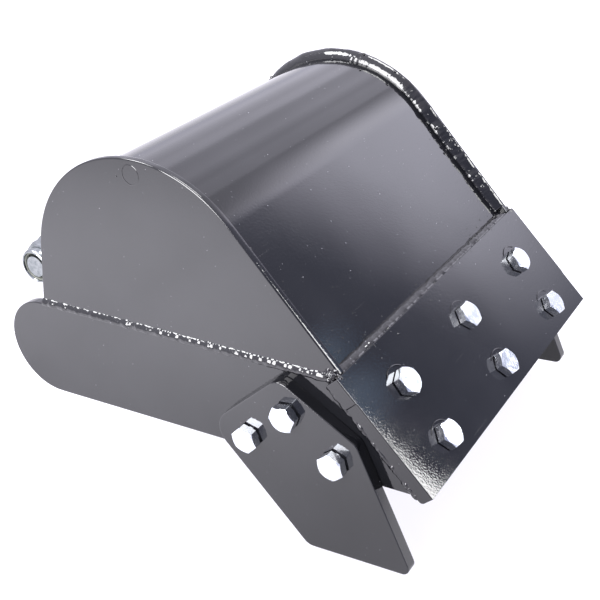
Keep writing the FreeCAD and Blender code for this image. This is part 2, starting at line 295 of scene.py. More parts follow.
paintLook = {"deep": (0.0030, 0.0032, 0.0040, 1), "pale": (0.0060, 0.0062, 0.0074, 1),
             "dust": (0.10, 0.10, 0.11, 1), "gloss": (0.030, 0.075), "peelSize": 0.0014, "peel": 0.000028,
             "sway": 0.00020, "ior": 1.56}
barePaint = dict(paintLook, peel=0.000034, peelSize=0.0021, gloss=(0.06, 0.16))
zincLook = {"cool": (0.66, 0.70, 0.75, 1), "bright": (0.80, 0.82, 0.85, 1), "dull": (0.52, 0.56, 0.60, 1),
            "rough": (0.15, 0.26), "wave": 0.000012, "grain": 0.000003}
pinLook = dict(zincLook, cool=(0.20, 0.22, 0.225, 1), bright=(0.29, 0.305, 0.31, 1),
               dull=(0.13, 0.14, 0.145, 1))
bushLook = dict(zincLook, cool=(0.42, 0.41, 0.40, 1), bright=(0.60, 0.59, 0.57, 1),
                dull=(0.30, 0.28, 0.26, 1), rough=(0.24, 0.40))
blackPaint = glossPaint("glossBlackPaint", paintLook)
beadPaint = glossPaint("paintOverWeld", barePaint)
zinc = zincPlate("brightZinc", zincLook)
bushSteel = zincPlate("turnedBushSteel", bushLook)
pinZinc = zincPlate("satinPinZinc", pinLook)


def nylonRing(look):
    material, node, shader, tree = painter("lockNutNylon")
    where = node("ShaderNodeTexCoord").outputs["Object"]
    cloud = spots(node, where, 0.003, 2.0)
    tree.links.new(blend(node, cloud, look["deep"], look["pale"]), shader.inputs["Base Color"])
    tree.links.new(span(node, cloud, 0.3, 0.7, look["rough"]), shader.inputs["Roughness"])
    bumps(node, tree, shader, [(cloud, 0.00005)])
    return material


nylon = nylonRing({"deep": (0.075, 0.080, 0.070, 1), "pale": (0.120, 0.125, 0.105, 1), "rough": (0.35, 0.5)})
print("paints and metals ready")


# plates: a merged copy of the node with its sharp edges rounded a little
def plate(node, name, edge, steps=None):
    mesh = bpy.data.objects[node].data.copy()
    piece = bpy.data.objects.new(name, mesh)
    mesh.name = name
    scene.collection.objects.link(piece)
    only(piece)
    bpy.ops.mesh.customdata_custom_splitnormals_clear()
    inEdit(piece)
    bpy.ops.mesh.select_all(action="SELECT")
    bpy.ops.mesh.remove_doubles(threshold=0.00001)
    bpy.ops.mesh.dissolve_limited(angle_limit=math.radians(0.3))
    bpy.ops.object.mode_set(mode="OBJECT")
    if steps:
        steps(piece)
    modify(piece, "BEVEL", width=edge, segments=3, limit_method="ANGLE", angle_limit=math.radians(32),
           use_clamp_overlap=False, miter_outer="MITER_ARC")
    settle(piece, blackPaint, [node])
    modify(piece, "WEIGHTED_NORMAL", keep_sharp=True)
    return piece


plates = {"side_plate": ("sidePlate", 0.0013), "side_bar": ("sideBar", 0.0010),
          "side_cutter": ("sideCutter", 0.0009), "ear": ("ear", 0.0010)}
for node, (name, edge) in plates.items():
    for hand in ("left", "right"):
        plate(node + "_" + hand, name + hand.title(), edge)
plate("wear_blade", "wearBlade", 0.0006)

lip = {"edge": 0.0006, "nearStep": 0.20, "farStep": 0.70, "stepIn": 0.0006, "slope": -1.8, "length": 0.104,
       "ramp": 0.0005, "side": 0.155}
lipAhead, lipIn = soleEdge(lip["slope"]), soleEdge(90 + lip["slope"])
lipCorner = rollMiddle + sideways(0.1237, -0.1105)


def lipSteps(piece):
    # the flame cut of each side edge stopped once and went on a little further in
    inEdit(piece, "FACE")
    for share in (lip["nearStep"], lip["farStep"]):
        for offset in (0, lip["ramp"]):
            bpy.ops.mesh.select_all(action="SELECT")
            spot = lipCorner + lipAhead * (lip["length"] * share + offset)
            bpy.ops.mesh.bisect(plane_co=spot, plane_no=lipAhead)
    for side, share in ((-1, lip["nearStep"]), (1, lip["farStep"])):
        limit = lip["length"] * share + lip["ramp"] * 0.8
        pick(piece, "VERT", lambda v: v.co.x * side > lip["side"] and (v.co - lipCorner).dot(lipAhead) > limit)
        bpy.ops.transform.translate(value=(-side * lip["stepIn"], 0, 0))
    bpy.ops.object.mode_set(mode="OBJECT")


plate("lip_plate", "lipPlate", lip["edge"], lipSteps)
print("plates rounded")

# the rolled shell: one flat section drawn along the sole, spun round the roll, drawn up the back
shell = {"sole": 0.1239, "roll": 127.8, "back": 0.138227, "rollSteps": 128}
backUp = soleEdge(180 - shell["roll"])
bpy.ops.object.select_all(action="DESELECT")
bpy.ops.mesh.primitive_plane_add(size=1, rotation=(body["lean"] - math.pi / 2, 0, 0),
                                 location=rollMiddle + sideways(shell["sole"], body["thick"] / 2 - body["roll"]))
bucketShell = started("bucketShell")
bucketShell.scale = (innerHalf * 2, body["thick"], 1)
place(bucketShell)
inEdit(bucketShell, "FACE")
bpy.ops.mesh.select_all(action="SELECT")
for k in range(6):
    extrude(sideways(-shell["sole"] / 6, 0))
bpy.ops.mesh.spin(steps=shell["rollSteps"], angle=math.radians(shell["roll"]), center=rollMiddle, axis=across)
for k in range(6):
    extrude(backUp * (shell["back"] / 6))
bpy.ops.object.mode_set(mode="OBJECT")
outward(bucketShell)
modify(bucketShell, "BEVEL", width=0.0005, segments=2, limit_method="ANGLE", angle_limit=math.radians(60))
settle(bucketShell, blackPaint, ["wrapper"])
modify(bucketShell, "WEIGHTED_NORMAL", keep_sharp=True)
print("shell rolled")


def lathe(name, profile, steps=64):
    # turns a closed outline of (radius, height) round the Z axis
    bpy.ops.object.select_all(action="DESELECT")
    bpy.ops.mesh.primitive_plane_add(size=0.001)
    piece = started(name)
    inEdit(piece)
    bpy.ops.mesh.select_all(action="SELECT")
    bpy.ops.mesh.merge(type="CENTER")
    bpy.ops.transform.translate(value=(profile[0][0], 0, profile[0][1]))
    for (r0, h0), (r1, h1) in zip(profile, profile[1:]):
        extrude((r1 - r0, 0, h1 - h0))
    pick(piece, "VERT", lambda v: v.index in (0, len(profile) - 1))
    bpy.ops.mesh.edge_face_add()
    bpy.ops.mesh.select_all(action="SELECT")
    bpy.ops.mesh.spin(steps=steps, angle=2 * math.pi, center=(0, 0, 0), axis=(0, 0, 1))
    bpy.ops.object.mode_set(mode="OBJECT")
    outward(piece)
    return piece


def turnedRing(name, outer, inner, low, high, chamfer, steps=64):
    c = chamfer
    return lathe(name, [(inner + c, low), (outer - c, low), (outer, low + c), (outer, high - c),
                        (outer - c, high), (inner + c, high), (inner, high - c), (inner, low + c)], steps)


def hexPrism(name, width, low, high, bothEnds=False, crownShare=0.95):
    # a hexagon with a flat towards +X, its corners turned down by a 30 degree cone
    corner = width / math.sqrt(3)
    bpy.ops.object.select_all(action="DESELECT")
    bpy.ops.mesh.primitive_cylinder_add(vertices=6, radius=corner, depth=high - low,
                                        location=(0, 0, (low + high) / 2))
    piece = started(name)
    place(piece)
    inEdit(piece, "EDGE")
    pick(piece, "EDGE", lambda e: abs(edgeLine(piece, e).z) > (high - low) / 2)
    bpy.ops.mesh.bevel(offset=width * 0.012, segments=2)
    bpy.ops.object.mode_set(mode="OBJECT")
    flare = (high - low) / math.tan(math.radians(30))
    for end in ((1, -1) if bothEnds else (1,)):
        small, wide = width / 2 * crownShare, width / 2 * crownShare + flare
        bpy.ops.object.select_all(action="DESELECT")
        radii = (wide, small) if end == 1 else (small, wide)
        bpy.ops.mesh.primitive_cone_add(vertices=96, radius1=radii[0], radius2=radii[1], depth=high - low,
                                        location=(0, 0, (low + high) / 2))
        cone = started("crownCone")
        modify(piece, "BOOLEAN", object=cone, operation="INTERSECT", solver="EXACT")
        drop(cone)
    return piece


def closed(piece):
    # merges what meets and fills what is open
    inEdit(piece)
    bpy.ops.mesh.select_all(action="SELECT")
    bpy.ops.mesh.remove_doubles(threshold=0.00001)
    bpy.ops.mesh.select_all(action="SELECT")
    bpy.ops.mesh.fill_holes(sides=0)
    bpy.ops.mesh.select_all(action="SELECT")
    bpy.ops.mesh.normals_make_consistent(inside=False)
    bpy.ops.object.mode_set(mode="OBJECT")
    return piece


threadDepth = 0.55  # of the pitch


def thread(name, radius, pitch, low, high):
    # a real helix: one turn of the profile, screwed down the shank
    turns = max(1, int((high - low) / pitch) - 1)
    bpy.ops.object.select_all(action="DESELECT")
    bpy.ops.mesh.primitive_plane_add(size=0.001)
    piece = started(name)
    inEdit(piece)
    bpy.ops.mesh.select_all(action="SELECT")
    bpy.ops.mesh.merge(type="CENTER")
    depth = pitch * threadDepth
    bpy.ops.transform.translate(value=(radius - depth, 0, low))
    for step in ((depth, 0, pitch * 0.42), (0, 0, pitch * 0.16), (-depth, 0, pitch * 0.42)):
        extrude(step)
    bpy.ops.object.mode_set(mode="OBJECT")
    modify(piece, "SCREW", angle=2 * math.pi, screw_offset=pitch, iterations=turns, steps=40, render_steps=40,
           use_merge_vertices=True, merge_threshold=0.00001)
    return closed(piece)


def boltOf(name, size):
    r, length, collar = size["radius"], size["length"], size["collar"]
    head = hexPrism(name + "Head", size["width"], collar, collar + size["head"])
    seat = turnedRing(name + "Seat", size["width"] * 0.44, r * 0.5, -0.0001, collar + 0.0001, 0.0001)
    plain = length - size["threaded"]
    core = r - size["pitch"] * threadDepth
    shank = lathe(name + "Shank", [(0, 0.0002), (r, 0.0002), (r, -plain + 0.0003), (core + 0.0001, -plain),
                                   (core + 0.0001, -length + r * 0.16), (core - 0.0004, -length),
                                   (0, -length)], 48)
    coil = thread(name + "Thread", r, size["pitch"], -length + size["pitch"] * 0.35, -plain)
    return joined([head, seat, shank, coil], name)


def nutOf(name, size):
    nut = hexPrism(name, size["width"], 0, size["height"], True)
    bpy.ops.object.select_all(action="DESELECT")
    bore = turnedBore(name + "Bore", size["bore"], size["height"])
    modify(nut, "BOOLEAN", object=bore, operation="DIFFERENCE", solver="EXACT")
    drop(bore)
    return closed(nut)


def turnedBore(name, radius, height):
    # the shape of the bore, opened out at both ends
    c = radius * 0.12
    return lathe(name, [(0, -c), (radius + 2 * c, -c), (radius, c), (radius, height - c),
                        (radius + 2 * c, height + c), (0, height + c)], 48)


def facing(side, out, spot):
    # stands a piece up on its seat: local Z goes outwards and local X to its side
    return Matrix.Translation(spot) @ Matrix((side, out.cross(side), out)).transposed().to_4x4()


def turnedSide(side, out, degrees):
    angle = math.radians(degrees)
    return side * math.cos(angle) + out.cross(side) * math.sin(angle)


def putCopy(master, name, where):
    piece = copyOf(master, name)
    piece.matrix_world = where
    place(piece)
    return piece


fastener = {"radius": 0.006, "length": 0.035, "width": 0.019, "head": 0.007, "threaded": 0.017,
            "pitch": 0.00175, "height": 0.010, "bore": 0.00605, "washer": 0.012, "washerHole": 0.0065,
            "washerThick": 0.0025}
lipSet = {"collar": 0.0005, "grip": 0.020, "turns": [24, 4, 17, -6, -9, -5]}
cutterSet = {"collar": 0.0015, "grip": 0.018, "turns": [27, 5, -2]}
lipMaster = boltOf("lipBoltMaster", dict(fastener, collar=lipSet["collar"]))
cutterMaster = boltOf("cutterBoltMaster", dict(fastener, collar=cutterSet["collar"]))
nutMaster = nutOf("nutMaster", fastener)
washerMaster = turnedRing("washerMaster", fastener["washer"], fastener["washerHole"], 0,
                          fastener["washerThick"], 0.0003)


def fasten(kind, label, seat, out, side, grip, master):
    # bolt, nut and washer on one hole; the washer and nut stand under the work
    under = seat - out * grip
    washerTop = under - out * fastener["washerThick"]
    bolt = putCopy(master, kind + "Bolt" + label, facing(side, out, seat))
    nut = putCopy(nutMaster, kind + "Nut" + label, facing(side, out, washerTop - out * fastener["height"]))
    washer = putCopy(washerMaster, kind + "Washer" + label, facing(side, out, washerTop))
    return bolt, nut, washer


def lipSeat(number):
    # where a lip bolt's head sits, up through the plates from the middle of its nut
    up = lipSet["grip"] + fastener["washerThick"] + fastener["height"] / 2
    return middleOf("lip_nut_%d" % number) - lipIn * up


lipWashers = []
for number in range(1, 7):
    seat = lipSeat(number)
    side = turnedSide(lipAhead, -lipIn, lipSet["turns"][number - 1])
    bolt, nut, washer = fasten("lip", str(number), seat, -lipIn, side, lipSet["grip"], lipMaster)
    settle(bolt, zinc, ["lip_bolt_%d" % number], smooth=28)
    settle(nut, zinc, ["lip_nut_%d" % number], smooth=28)
    lipWashers.append(washer)
settle(joined(lipWashers, "lipWashers"), zinc, ["lip_washers"], smooth=28)

for hand, out in (("left", -across), ("right", across)):
    washers = []
    for number in range(1, 4):
        nutPlace = middleOf("cutter_nut_%s_%d" % (hand, number))
        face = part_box("side_cutter_" + hand)[0 if hand == "left" else 1].x
        seat = Vector((face, nutPlace.y, nutPlace.z))
        side = turnedSide(soleEdge(0), out, cutterSet["turns"][number - 1])
        label = hand.title() + str(number)
        bolt, nut, washer = fasten("cutter", label, seat, out, side, cutterSet["grip"], cutterMaster)
        settle(bolt, zinc, ["cutter_bolt_%s_%d" % (hand, number)], smooth=28)
        settle(nut, zinc, ["cutter_nut_%s_%d" % (hand, number)], smooth=28)
        washers.append(washer)
    together = joined(washers, "cutterWashers" + hand.title())
    settle(together, zinc, ["cutter_washers_" + hand], smooth=28)
for master in (lipMaster, cutterMaster, nutMaster, washerMaster):
    drop(master)
print("bolts, nuts and washers on")

# bushes in the ears, and the stick's pivot bolt with its lock nut
bush = {"outer": 0.018, "bore": 0.01205, "long": 0.016, "chamfer": 0.0007}
bushMaster = turnedRing("bushMaster", bush["outer"], bush["bore"], 0, bush["long"], bush["chamfer"], 96)
for hole in ("stick", "link"):
    for hand, out in (("left", -across), ("right", across)):
        node = hole + "_bush_" + hand
        spot = middleOf(node) - out * (bush["long"] / 2)
        piece = putCopy(bushMaster, hole + "Bush" + hand.title(), facing(backUp, out, spot))
        settle(piece, bushSteel, [node], smooth=28)
drop(bushMaster)

pivot = {"radius": 0.012, "width": 0.036, "head": 0.0142, "collar": 0.0008, "threaded": 0.044, "pitch": 0.003,
         "washer": 0.022, "washerHole": 0.0125, "washerThick": 0.004, "nut": 0.024, "hexShare": 0.68,
         "recess": 0.001, "rim": 0.0166, "insertDepth": 0.0015, "insertHigh": 0.005, "insertOuter": 0.014}
washerBox = {hand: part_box("stick_pin_washer_" + hand) for hand in ("left", "right")}
pinMiddle = middleOf("stick_pin_washer_right")
pinSeat = Vector((washerBox["right"][1].x, pinMiddle.y, pinMiddle.z))
nutSeat = Vector((washerBox["left"][0].x, pinMiddle.y, pinMiddle.z))
pinLength = pinSeat.x - nutSeat.x + pivot["nut"] - pivot["recess"]
pinBolt = boltOf("stickPinBolt", dict(pivot, length=pinLength))
pinBolt.matrix_world = facing(backUp, across, pinSeat)
settle(pinBolt, pinZinc, ["stick_pin_bolt"], "stick_pin", 28)
for hand, out in (("left", -across), ("right", across)):
    ringPiece = turnedRing("stickPinWasher" + hand.title(), pivot["washer"], pivot["washerHole"], 0,
                           pivot["washerThick"], 0.0004, 96)
    inner = washerBox[hand][1 if hand == "left" else 0].x
    ringPiece.matrix_world = facing(backUp, out, Vector((inner, pinMiddle.y, pinMiddle.z)))
    settle(ringPiece, pinZinc, ["stick_pin_washer_" + hand], "stick_pin", 28)


def lockNut():
    # hexagon below, and above it a round collar whose rim is crimped in over the nylon
    high, bore, rim = pivot["nut"], pivot["radius"] + 0.00005, pivot["rim"]
    hexHigh = high * pivot["hexShare"]
    hexPart = hexPrism("stickPinHex", pivot["width"], 0, hexHigh, True)
    boreTool = turnedBore("stickPinNutBore", bore, hexHigh)
    modify(hexPart, "BOOLEAN", object=boreTool, operation="DIFFERENCE", solver="EXACT")
    drop(boreTool)
    closed(hexPart)
    ledge = high - pivot["insertDepth"] - pivot["insertHigh"]
    ringOuter = pivot["insertOuter"]
    collar = lathe("stickPinCollar", [
        (bore, hexHigh - 0.0012), (rim, hexHigh - 0.0012), (rim, high - 0.0038), (rim - 0.0003, high - 0.0022),
        (rim - 0.0010, high - 0.0008), (rim - 0.0019, high - 0.0001), (rim - 0.0027, high - 0.0001),
        (ringOuter - 0.0004, high - 0.0006), (ringOuter - 0.0007, high - 0.0013), (ringOuter, high - 0.0017),
        (ringOuter, ledge), (bore, ledge)], 96)
    nut = joined([hexPart, collar], "stickPinNut")
    nut.matrix_world = facing(backUp, -across, nutSeat)
    settle(nut, pinZinc, ["stick_pin_nut"], "stick_pin", 28)
    insert = lathe("stickPinInsert", [
        (bore, ledge), (ringOuter - 0.0001, ledge), (ringOuter - 0.0001, high - 0.0018),
        (ringOuter - 0.0006, high - 0.0015), (bore + 0.0004, high - 0.0016), (bore, high - 0.0021)], 96)
    insert.matrix_world = facing(backUp, -across, nutSeat)
    settle(insert, nylon, ["stick_pin_insert"], "stick_pin", 40)


lockNut()
print("bushes and pivot bolt in")


def alongShell(p, q):
    # distance along the shell's side view: sole, roll, then back
    if p > 0 and q < 0:
        return -p
    angle = (-90 - math.degrees(math.atan2(q, p))) % 360
    if angle < shell["roll"]:
        return math.radians(angle) * body["roll"]
    return math.radians(shell["roll"]) * body["roll"] + Vector((0, p, q)).dot(
        Vector((0, math.cos(math.radians(180 - shell["roll"])), math.sin(math.radians(180 - shell["roll"])))))


def ripple(piece, runOf, acrossOf, look, seed):
    # pushes the bead out into overlapping lumps, each lagging at its sides
    mesh = piece.data
    normals = [v.normal.copy() for v in mesh.vertices]
    for vertex, normal in zip(mesh.vertices, normals):
        run, side = runOf(vertex.co), acrossOf(vertex.co)
        wander = noise.noise(Vector((run * look["wander"], seed, 0)))
        phase = (run - look["bow"] * side * side) / look["pitch"] + 1.6 * wander
        lump = abs(math.sin(math.pi * phase)) ** 0.7
        size = 0.65 + 0.7 * noise.noise(Vector((math.floor(phase) * 1.7, seed, 3)))
        swell = noise.noise(Vector((run * look["swell"], seed, 9)))
        fine = noise.noise(vertex.co * 330) + 0.5 * noise.noise(vertex.co * 800)
        vertex.co += normal * (look["height"] * lump * size + look["uneven"] * swell + look["fine"] * fine)
    mesh.update()


def rod(name, half, spot, heading, out, pieces, sides=24):
    # the start of a bead: an oval disc drawn out along its heading; half is its half width and half height
    bpy.ops.object.select_all(action="DESELECT")
    bpy.ops.mesh.primitive_circle_add(vertices=sides, radius=1, fill_type="NGON")
    piece = started(name)
    basis = Matrix((out.cross(heading), out, heading)).transposed().to_4x4()
    piece.matrix_world = Matrix.Translation(spot) @ basis @ Matrix.Diagonal((half[0], half[1], 1, 1))
    place(piece)
    inEdit(piece, "FACE")
    bpy.ops.mesh.select_all(action="SELECT")
    for length in pieces:
        extrude(heading * length)
    return piece


def cutRings(piece, headings, cuts):
    # rings across every long run edge
    for heading in headings:
        pick(piece, "EDGE", lambda e: edgeLine(piece, e).length > 0.02 and
             abs(edgeLine(piece, e).normalized().dot(heading)) > 0.999)
        bpy.ops.mesh.subdivide(number_cuts=cuts)
    bpy.ops.object.mode_set(mode="OBJECT")


# seam beads from the side plates to the bars
seamLook = {"pitch": 0.0070, "height": 0.00030, "uneven": 0.00095, "fine": 0.00022, "bow": 110, "wander": 110,
            "swell": 150, "half": (0.0038, 0.0024), "tilt": 0.7, "sunk": 0.0004, "shift": 0.0012,
            "bearing": 39.4, "turn": 89.45, "past": 0.0050}
seamOut, seamAlong = soleEdge(seamLook["bearing"]), soleEdge(seamLook["bearing"] - 90)
seamRun = soleEdge(seamLook["bearing"] - seamLook["turn"])  # the bead wanders a little off the joint
sideCorner = rollMiddle + sideways(-0.05497, 0.10801)
barCorner = rollMiddle + sideways(0.117629, -0.098303)
for hand, sign in (("left", -1), ("right", 1)):
    run = (barCorner - sideCorner).length + seamLook["past"]
    start = sideCorner + seamOut * seamLook["shift"]
    start += across * (sign * (body["halfWidth"] - seamLook["sunk"]))
    out = (across * sign - seamOut * seamLook["tilt"]).normalized()
    bead = rod("seamBead" + hand.title(), seamLook["half"], start, seamRun, out, [run / 4] * 4)
    cutRings(bead, [seamAlong], 99)
    outward(bead)
    ripple(bead, lambda v: (v - sideCorner).dot(seamAlong), lambda v: (v - sideCorner).dot(seamOut),
           seamLook, sign * 3)
    settle(bead, beadPaint, ["bar_weld_" + hand], smooth=60)

# fillet beads round the shell's two edges, inside the side plates' rims
edgeLook = {"pitch": 0.0082, "height": 0.00016, "uneven": 0.0010, "fine": 0.00015, "bow": 90, "wander": 55,
            "swell": 75, "half": {"left": (0.0032, 0.0022), "right": (0.0064, 0.0036)},
            "spot": {"left": (-0.0012, 0.0012), "right": (-0.0004, 0.0026)},
            "slope": {"left": 1.0, "right": 1.26}, "soleRun": 0.1165}
soleRun = edgeLook["soleRun"]
for hand, sign in (("left", -1), ("right", 1)):
    inward, rise = edgeLook["spot"][hand]
    middleX = sign * (innerHalf + inward)
    ring = body["roll"] + rise
    start = rollMiddle + sideways(soleRun, -ring) + across * middleX
    out = (soleEdge(-90) - across * (sign * edgeLook["slope"][hand])).normalized()
    bead = rod("edgeBead" + hand.title(), edgeLook["half"][hand], start, soleEdge(180), out,
               [soleRun / 2] * 2)
    bpy.ops.mesh.spin(steps=360, angle=math.radians(shell["roll"]), center=rollMiddle, axis=across)
    for k in range(2):
        extrude(backUp * (shell["back"] / 2))
    cutRings(bead, [soleEdge(180), backUp], 99)
    outward(bead)
    ripple(bead, lambda v: alongShell(*sidePlace(v)), lambda v: v.x - middleX, edgeLook, sign * 5)
    settle(bead, beadPaint, ["edge_weld_" + hand], smooth=60)
print("side beads laid")

# the smoother, flatter bead from the shell to the lip plate
lipBead = {"pitch": 0.0085, "height": 0.00018, "uneven": 0.00110, "fine": 0.00022, "bow": 60, "wander": 40,
           "swell": 75, "half": (0.0046, 0.0028), "rise": 0.0024}
out = (soleEdge(-90) + soleEdge(180)).normalized()
start = rollMiddle + sideways(shell["sole"], -body["roll"]) + out * lipBead["rise"] - across * innerHalf
bead = rod("lipBead", lipBead["half"], start, across, out, [innerHalf * 2 / 4] * 4, 28)
cutRings(bead, [across], 99)
outward(bead)
ripple(bead, lambda v: v.x, lambda v: sidePlace(v)[0] - 0.1205, lipBead, 11)
settle(bead, blackPaint, ["lip_weld"], smooth=60)

# under the lip's ends, down to the bars
underLook = {"pitch": 0.0055, "height": 0.00080, "uneven": 0.0014, "fine": 0.00040, "bow": 80, "wander": 50,
             "swell": 120, "half": (0.0030, 0.0022), "rise": 0.0010, "from": 0.0010, "long": 0.0984,
             "barFace": 0.152, "lipThick": 0.012}
for hand, sign in (("left", -1), ("right", 1)):
    out = (lipIn + across * sign).normalized()
    start = lipCorner + lipIn * underLook["lipThick"] + lipAhead * underLook["from"]
    start += across * (sign * underLook["barFace"]) + out * underLook["rise"]
    bead = rod("lipEndBead" + hand.title(), underLook["half"], start, lipAhead, out,
               [underLook["long"] / 3] * 3)
    cutRings(bead, [lipAhead], 60)
    outward(bead)
    ripple(bead, lambda v: (v - lipCorner).dot(lipAhead), lambda v: v.x - sign * underLook["barFace"],
           underLook, sign * 13)
    settle(bead, beadPaint, ["lip_bar_weld_" + hand], smooth=60)

# round the feet of the ears
earLook = {"pitch": 0.0050, "height": 0.0008, "uneven": 0.0011, "fine": 0.00050, "bow": 120, "wander": 60,
           "swell": 110, "half": (0.0036, 0.0026), "rise": 0.0009, "turn": 11, "back": 0.115}
for hand in ("left", "right"):
    low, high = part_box("ear_" + hand)
    beads = []
    for faceX, way in ((low.x, -1), (high.x, 1)):
        firstTurn = shell["roll"] - earLook["turn"]
        radial = soleEdge(-90 - firstTurn)
        start = rollMiddle + radial * (body["roll"] + earLook["rise"])
        start += across * (faceX + way * earLook["rise"])
        out = (radial + across * way).normalized()
        bead = rod("earBead", earLook["half"], start, soleEdge(180 - firstTurn), out, [0.0004])
        bpy.ops.mesh.spin(steps=40, angle=math.radians(earLook["turn"]), center=rollMiddle, axis=across)
        for k in range(2):
            extrude(backUp * (earLook["back"] / 2))
        cutRings(bead, [backUp], 90)
        outward(bead)
        ripple(bead, lambda v: alongShell(*sidePlace(v)), lambda v: v.x - faceX, earLook, way * 17)
        beads.append(bead)
    together = joined(beads, "earBeads" + hand.title())
    settle(together, beadPaint, ["ear_weld_" + hand], smooth=60)
print("all beads laid")


def lumps(name, places, faces, rough):
    # weld drops: small balls pressed flat on the plate; each is (place, plate's normal, radius)
    made = []
    for spot, out, radius in places:
        bpy.ops.object.select_all(action="DESELECT")
        bpy.ops.mesh.primitive_ico_sphere_add(subdivisions=faces, radius=radius)
        ball = started(name + "Part")
        upright = out.to_track_quat("Z", "Y").to_matrix().to_4x4()
        ball.matrix_world = Matrix.Translation(spot) @ upright @ Matrix.Diagonal((1, 1, 0.75, 1))
        place(ball)
        for vertex in ball.data.vertices:
            vertex.co += (vertex.co - spot) * (rough * noise.noise(vertex.co * 420))
        made.append(ball)
    return settle(joined(made, name), beadPaint, smooth=60)


# heaped weld where the seam meets the lip, at both sides
heap = {"both": [(0.1185, -0.1008, 0.0034, 0.0000), (0.1222, -0.1000, 0.0034, 0.0000),
                 (0.1222, -0.1042, 0.0032, 0.0006), (0.1205, -0.1075, 0.0030, -0.0004),
                 (0.1240, -0.1080, 0.0030, 0.0008), (0.1165, -0.1035, 0.0022, -0.0004),
                 (0.1258, -0.1020, 0.0028, 0.0012), (0.1262, -0.1060, 0.0024, 0.0018)],
        "more": {"Left": [(0.1200, -0.1082, 0.0030, 0.0052)], "Right": []}}
for hand, sign in (("Left", -1), ("Right", 1)):
    blobs = [(rollMiddle + sideways(p, q) + across * (sign * (body["halfWidth"] + x)), across * sign, r)
             for p, q, r, x in heap["both"] + heap["more"][hand]]
    lumps("cornerHeap" + hand, blobs, 4, 0.55)

# drops frozen on the two edge beads
dropLook = {"count": {"left": 16, "right": 36}, "small": 0.0008, "large": 0.0024}
for hand, sign in (("left", -1), ("right", 1)):
    drops = []
    inward, rise = edgeLook["spot"][hand]
    for k in range(dropLook["count"][hand]):
        size = dropLook["small"] + (dropLook["large"] - dropLook["small"]) * random.random() ** 2
        share = random.uniform(-0.8, 0.8) * edgeLook["half"][hand][0]
        out = -across * (sign * edgeLook["slope"][hand])
        run = random.random()
        if run < 0.42:
            radial = soleEdge(-90)
            spot = rollMiddle + soleEdge(180) * (-soleRun * random.random()) + radial * (body["roll"] + rise)
        else:
            radial = soleEdge(-90 - random.uniform(0, shell["roll"]))
            spot = rollMiddle + radial * (body["roll"] + rise)
        out = (radial + out).normalized()
        sideWay = (across * sign + radial * edgeLook["slope"][hand]).normalized()
        spot += across * (sign * (innerHalf + inward)) + sideWay * share
        spot += out * (edgeLook["half"][hand][1] * 0.8)
        drops.append((spot, out, size))
    lumps("edgeDrops" + hand.title(), drops, 3, 0.45)

# spatter beside the welds: along the lip bead, inside the rims and by the seams
spatter = {"count": 74, "small": 0.00028, "large": 0.00075}
soleOut, lipOut = soleEdge(-90), -lipIn
drops = [(rollMiddle + sideways(p, -body["roll"]) + across * x, soleOut, r) for x, p, r in (
    (-0.094, 0.075, 0.0005), (-0.090, 0.077, 0.0004), (-0.060, 0.080, 0.0005), (-0.035, 0.096, 0.0004),
    (-0.118, 0.107, 0.0007), (-0.128, 0.112, 0.0006), (-0.133, 0.104, 0.0006), (-0.122, 0.098, 0.0004))]
for k in range(spatter["count"]):
    size = spatter["small"] + (spatter["large"] - spatter["small"]) * random.random() ** 3
    group = k % 3
    if group == 0:
        spot, out = rollMiddle + sideways(soleRun - 0.022 * random.random() ** 2, -body["roll"]), soleOut
        spot += across * random.uniform(-0.136, 0.136)
    elif group == 1:
        spot, out = lipCorner + lipAhead * (0.001 + 0.024 * random.random() ** 2), lipOut
        spot += across * random.uniform(-0.150, 0.150)
    else:
        spot, out = rollMiddle + sideways(random.uniform(0.0, 0.116), -body["roll"]), soleOut
        spot += across * (random.choice((-1, 1)) * (0.1375 - 0.012 * random.random() ** 2))
    drops.append((spot, out, size))
lumps("weldSpatter", drops, 2, 0.2)


# a shallow ring and a dot on the left side plate, left from making it
def raisedRing(name, look, steps):
    r, w = look["radius"], look["wide"]
    return lathe(name, [(r - w, look["foot"]), (r + w, look["foot"]), (r + w * 0.3, look["high"]),
                        (r - w * 0.3, look["high"])], steps)


markLook = {"place": (-0.0739, -0.0647), "radius": 0.0075, "wide": 0.00065, "high": 0.00022,
            "foot": -0.0002, "dot": (-0.0807, -0.0526)}
plateFace = across * -body["halfWidth"]
ringMark = raisedRing("plateRingMark", markLook, 96)
ringMark.matrix_world = facing(backUp, -across, rollMiddle + sideways(*markLook["place"]) + plateFace)
settle(ringMark, blackPaint, smooth=80)
lumps("plateDot", [(rollMiddle + sideways(*markLook["dot"]) + plateFace, -across, 0.0007)], 3, 0.1)

# arcs left in the lip's paint by washers, a little off each bolt
pressLook = {"radius": 0.0138, "wide": 0.0005, "high": 0.00009, "foot": -0.0001, "keep": 0.70,
             "off": [(-0.0012, -0.0014), (-0.0016, -0.0010), (0.0009, -0.0012), (-0.0009, 0.0012),
                     (0.0011, 0.0009), (-0.0010, -0.0011)]}
keptTo = Vector((-pressLook["radius"] * pressLook["keep"], 0, 0))
rings = []
for number in range(1, 7):
    x, along = pressLook["off"][number - 1]
    seat = lipSeat(number)
    press = raisedRing("pressPart", pressLook, 72)
    inEdit(press)
    bpy.ops.mesh.select_all(action="SELECT")
    bpy.ops.mesh.bisect(plane_co=keptTo, plane_no=(1, 0, 0), clear_outer=True, use_fill=True)
    bpy.ops.object.mode_set(mode="OBJECT")
    press.matrix_world = facing(lipAhead, lipOut, seat + across * x + lipAhead * along)
    place(press)
    rings.append(press)
settle(joined(rings, "pressedRings"), blackPaint, smooth=80)
print("heaps, spatter and marks made")

